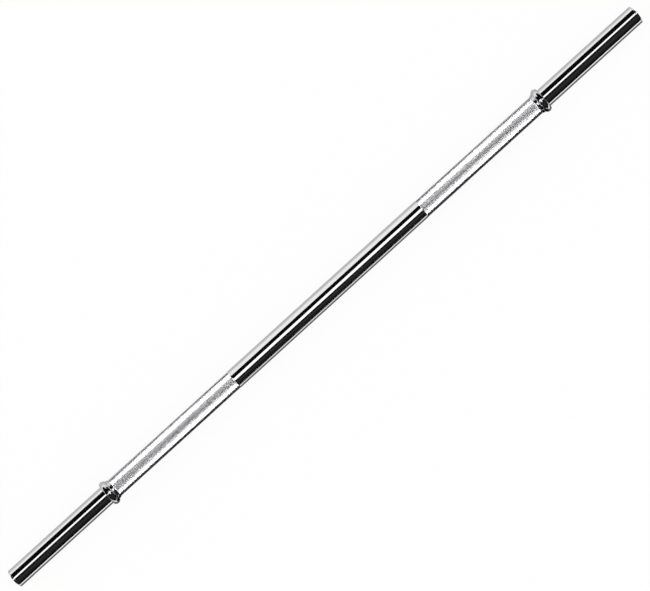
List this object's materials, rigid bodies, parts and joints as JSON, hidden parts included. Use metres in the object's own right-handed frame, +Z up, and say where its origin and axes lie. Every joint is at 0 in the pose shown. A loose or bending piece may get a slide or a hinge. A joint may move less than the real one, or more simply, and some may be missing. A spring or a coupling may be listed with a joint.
{
  "type": "standard barbell",
  "caption": "Straight chromed steel weight bar with smooth sleeves for plates, fixed stop collars, knurled grips and a smooth centre.",
  "frame": {"origin": "middle of the bar, on its own axis", "axes": "+X along the bar to the right end, which is the upper right one in the picture; +Z up, towards the picture's camera, with the locking pins underneath"},
  "size_m": [1.2, 0.0396, 0.0394],
  "materials": {
    "bar_chrome": "polished",
    "collar_chrome": "polished",
    "ring_chrome": "polished",
    "pin_steel": "ground"
  },
  "bodies": {
    "root": {"bar": "bar_chrome", "stop_collar_left": "collar_chrome", "stop_collar_right": "collar_chrome", "backing_ring_left": "ring_chrome", "backing_ring_right": "ring_chrome", "locking_pin_left": "pin_steel", "locking_pin_right": "pin_steel"}
  },
  "joints": []
}
